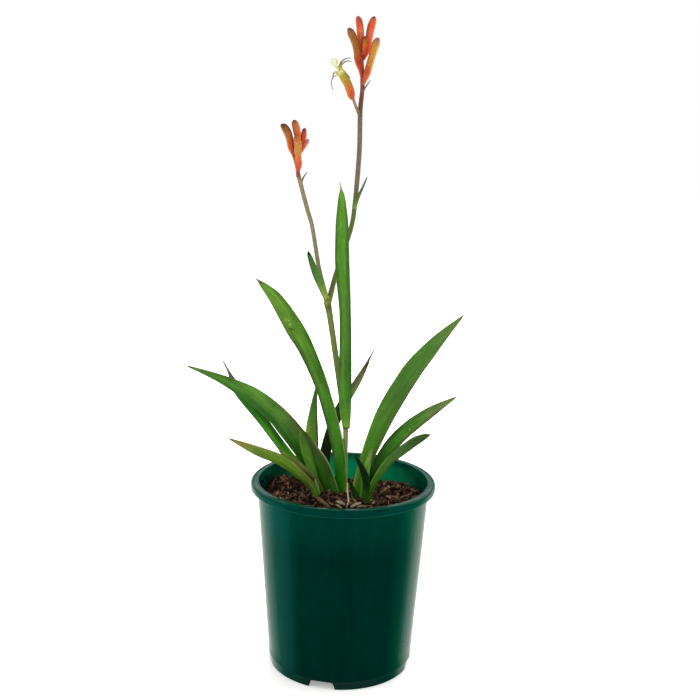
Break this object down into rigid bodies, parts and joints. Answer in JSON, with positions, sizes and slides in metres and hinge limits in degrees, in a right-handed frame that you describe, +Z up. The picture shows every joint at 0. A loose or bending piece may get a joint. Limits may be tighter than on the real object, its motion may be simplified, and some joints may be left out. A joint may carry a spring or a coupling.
{
  "type": "potted kangaroo paw",
  "caption": "Kangaroo paw plant with fans of sword-shaped leaves, a forked felted stem, orange buds and an open flower, growing in bark mix in a tapered green nursery pot.",
  "frame": {"origin": "middle of the underside of the whole object's box, on the surface that the pot stands on; the pot's own axis is parallel to Z, 11.0 mm along +X from it", "axes": "+Z up, along the flower stem; -Y towards the viewer of the picture; +X to the viewer's right"},
  "size_m": [0.2028, 0.14, 0.4857],
  "materials": {
    "pot_plastic": "glossy moulded polypropylene",
    "bark_mix": "rough, dry composted bark",
    "leaf": "satin, finely ribbed",
    "young_leaf": "satin, finely ribbed",
    "dark_leaf": "satin, shaded",
    "withered_leaf": "matt, dry",
    "stem_felt": "fine woolly felt",
    "bud_felt": "dense woolly felt",
    "open_flower_felt": "dense woolly felt outside, smooth inside"
  },
  "bodies": {
    "root": {"pot": "pot_plastic", "potting_mix": "bark_mix", "leaf_long_left": "leaf", "leaf_broad_left": "leaf", "leaf_thread_left": "leaf", "leaf_short_left": "leaf", "leaf_upright_back": "leaf", "leaf_long_right": "leaf", "leaf_middle_right": "leaf", "stem_leaf": "leaf", "fork_bract": "leaf", "upper_bract": "leaf", "leaf_low_left": "young_leaf", "leaf_low_right": "young_leaf", "leaf_small_right": "young_leaf", "sprouts_left": "young_leaf", "leaf_dark_back": "dark_leaf", "leaf_dark_right": "dark_leaf", "sprout_front": "dark_leaf", "leaf_withered_left": "withered_leaf", "flower_stem": "stem_felt", "flower_head_left": "bud_felt", "flower_head_top": "bud_felt", "open_flower": "open_flower_felt"}
  },
  "joints": []
}
